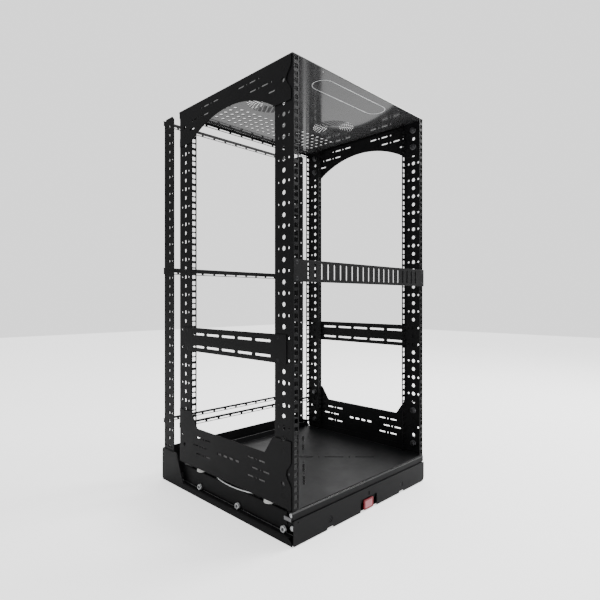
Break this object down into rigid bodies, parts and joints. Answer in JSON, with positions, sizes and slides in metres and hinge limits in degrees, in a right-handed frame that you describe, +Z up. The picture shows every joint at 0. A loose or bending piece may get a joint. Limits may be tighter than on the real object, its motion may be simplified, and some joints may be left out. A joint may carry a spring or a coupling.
{
  "type": "slide-out turning equipment rack",
  "caption": "Open steel equipment rack on a base that slides out and turns, with slotted side plates, square-holed posts, a vented top, a vent panel and rear cable bars.",
  "frame": {"origin": "the middle of the footprint, on the floor", "axes": "+Z up, -Y towards the equipment side (the direction the carriage slides out), +X to the right seen from the equipment side"},
  "size_m": [0.486, 0.5058, 0.9619],
  "materials": {
    "black_powder": "fine-textured black powder coat",
    "satin_black": "smooth semi-gloss black powder coat",
    "zinc": "bright zinc plate",
    "nylon": "moulded nylon",
    "red_plastic": "moulded red plastic"
  },
  "bodies": {
    "base": {"base_pan": "black_powder", "base_rail_left": "black_powder", "base_rail_right": "black_powder", "base_rear_wall": "black_powder", "cable_post_left": "black_powder", "cable_post_right": "black_powder", "cable_bar_top": "black_powder", "cable_bar_middle": "black_powder", "cable_bar_bottom": "black_powder"},
    "carriage": {"carriage_tray": "black_powder", "carriage_front_plate": "black_powder", "carriage_front_lip": "black_powder", "turntable_lower_disc": "zinc", "glide_pad_front_left": "nylon", "glide_pad_front_right": "nylon", "glide_pad_rear_left": "nylon", "glide_pad_rear_right": "nylon"},
    "rack": {"rack_floor": "black_powder", "post_front_left": "black_powder", "post_front_right": "black_powder", "post_rear_left": "black_powder", "post_rear_right": "black_powder", "upper_side_plate_left": "black_powder", "upper_side_plate_right": "black_powder", "lower_side_plate_left": "black_powder", "lower_side_plate_right": "black_powder", "side_brace_left": "black_powder", "side_brace_right": "black_powder", "side_bolt_front_1_left": "zinc", "side_bolt_front_1_right": "zinc", "side_bolt_front_2_left": "zinc", "side_bolt_front_2_right": "zinc", "side_bolt_front_3_left": "zinc", "side_bolt_front_3_right": "zinc", "side_bolt_front_4_left": "zinc", "side_bolt_front_4_right": "zinc", "side_bolt_rear_1_left": "zinc", "side_bolt_rear_1_right": "zinc", "side_bolt_rear_2_left": "zinc", "side_bolt_rear_2_right": "zinc", "side_bolt_rear_3_left": "zinc", "side_bolt_rear_3_right": "zinc", "side_bolt_rear_4_left": "zinc", "side_bolt_rear_4_right": "zinc", "top_panel": "satin_black", "rack_bar_top": "black_powder", "rack_bar_bottom": "black_powder", "vent_panel": "black_powder", "turntable_upper_ring": "zinc", "pivot_stud": "zinc", "pivot_nut": "zinc"},
    "ball_cage": {"turntable_ball_cage": "nylon"},
    "latch": {"release_latch": "red_plastic"},
    "roller_front_left_body": {"roller_front_left": "zinc"},
    "roller_front_right_body": {"roller_front_right": "zinc"},
    "roller_middle_left_body": {"roller_middle_left": "zinc"},
    "roller_middle_right_body": {"roller_middle_right": "zinc"},
    "roller_rear_left_body": {"roller_rear_left": "zinc"},
    "roller_rear_right_body": {"roller_rear_right": "zinc"}
  },
  "joints": [
    {"name": "carriage_slide", "type": "slide", "parent": "base", "child": "carriage", "axis": [0, -1, 0], "range_m": [0, 0.42]},
    {"name": "rack_turn", "type": "hinge", "parent": "carriage", "child": "rack", "pos_m": [0, -0.0409, 0], "axis": [0, 0, 1], "range_deg": [0, 90]},
    {"name": "ball_cage_turn", "type": "hinge", "parent": "carriage", "child": "ball_cage", "pos_m": [0, -0.0409, 0], "axis": [0, 0, 1], "range_deg": [0, 45]},
    {"name": "latch_lift", "type": "slide", "parent": "carriage", "child": "latch", "axis": [0, 0, 1], "range_m": [0, 0.004], "stiffness_N_per_m": 300, "springref_m": -0.002},
    {"name": "roller_front_left_roll", "type": "hinge", "parent": "carriage", "child": "roller_front_left_body", "pos_m": [0, -0.2164, 0.0221], "axis": [1, 0, 0], "range_deg": [0, 3440]},
    {"name": "roller_front_right_roll", "type": "hinge", "parent": "carriage", "child": "roller_front_right_body", "pos_m": [0, -0.2164, 0.0221], "axis": [1, 0, 0], "range_deg": [0, 3440]},
    {"name": "roller_middle_left_roll", "type": "hinge", "parent": "carriage", "child": "roller_middle_left_body", "pos_m": [0, -0.0664, 0.0221], "axis": [1, 0, 0], "range_deg": [0, 3440]},
    {"name": "roller_middle_right_roll", "type": "hinge", "parent": "carriage", "child": "roller_middle_right_body", "pos_m": [0, -0.0664, 0.0221], "axis": [1, 0, 0], "range_deg": [0, 3440]},
    {"name": "roller_rear_left_roll", "type": "hinge", "parent": "carriage", "child": "roller_rear_left_body", "pos_m": [0, 0.0836, 0.0221], "axis": [1, 0, 0], "range_deg": [0, 3440]},
    {"name": "roller_rear_right_roll", "type": "hinge", "parent": "carriage", "child": "roller_rear_right_body", "pos_m": [0, 0.0836, 0.0221], "axis": [1, 0, 0], "range_deg": [0, 3440]}
  ],
  "couplings": [
    {"joint": "rack_turn", "follows": "carriage_slide", "rad_per_m": 3.739},
    {"joint": "ball_cage_turn", "follows": "carriage_slide", "rad_per_m": 1.8695},
    {"joint": "roller_front_left_roll", "follows": "carriage_slide", "rad_per_m": 142.86},
    {"joint": "roller_front_right_roll", "follows": "carriage_slide", "rad_per_m": 142.86},
    {"joint": "roller_middle_left_roll", "follows": "carriage_slide", "rad_per_m": 142.86},
    {"joint": "roller_middle_right_roll", "follows": "carriage_slide", "rad_per_m": 142.86},
    {"joint": "roller_rear_left_roll", "follows": "carriage_slide", "rad_per_m": 142.86},
    {"joint": "roller_rear_right_roll", "follows": "carriage_slide", "rad_per_m": 142.86}
  ]
}
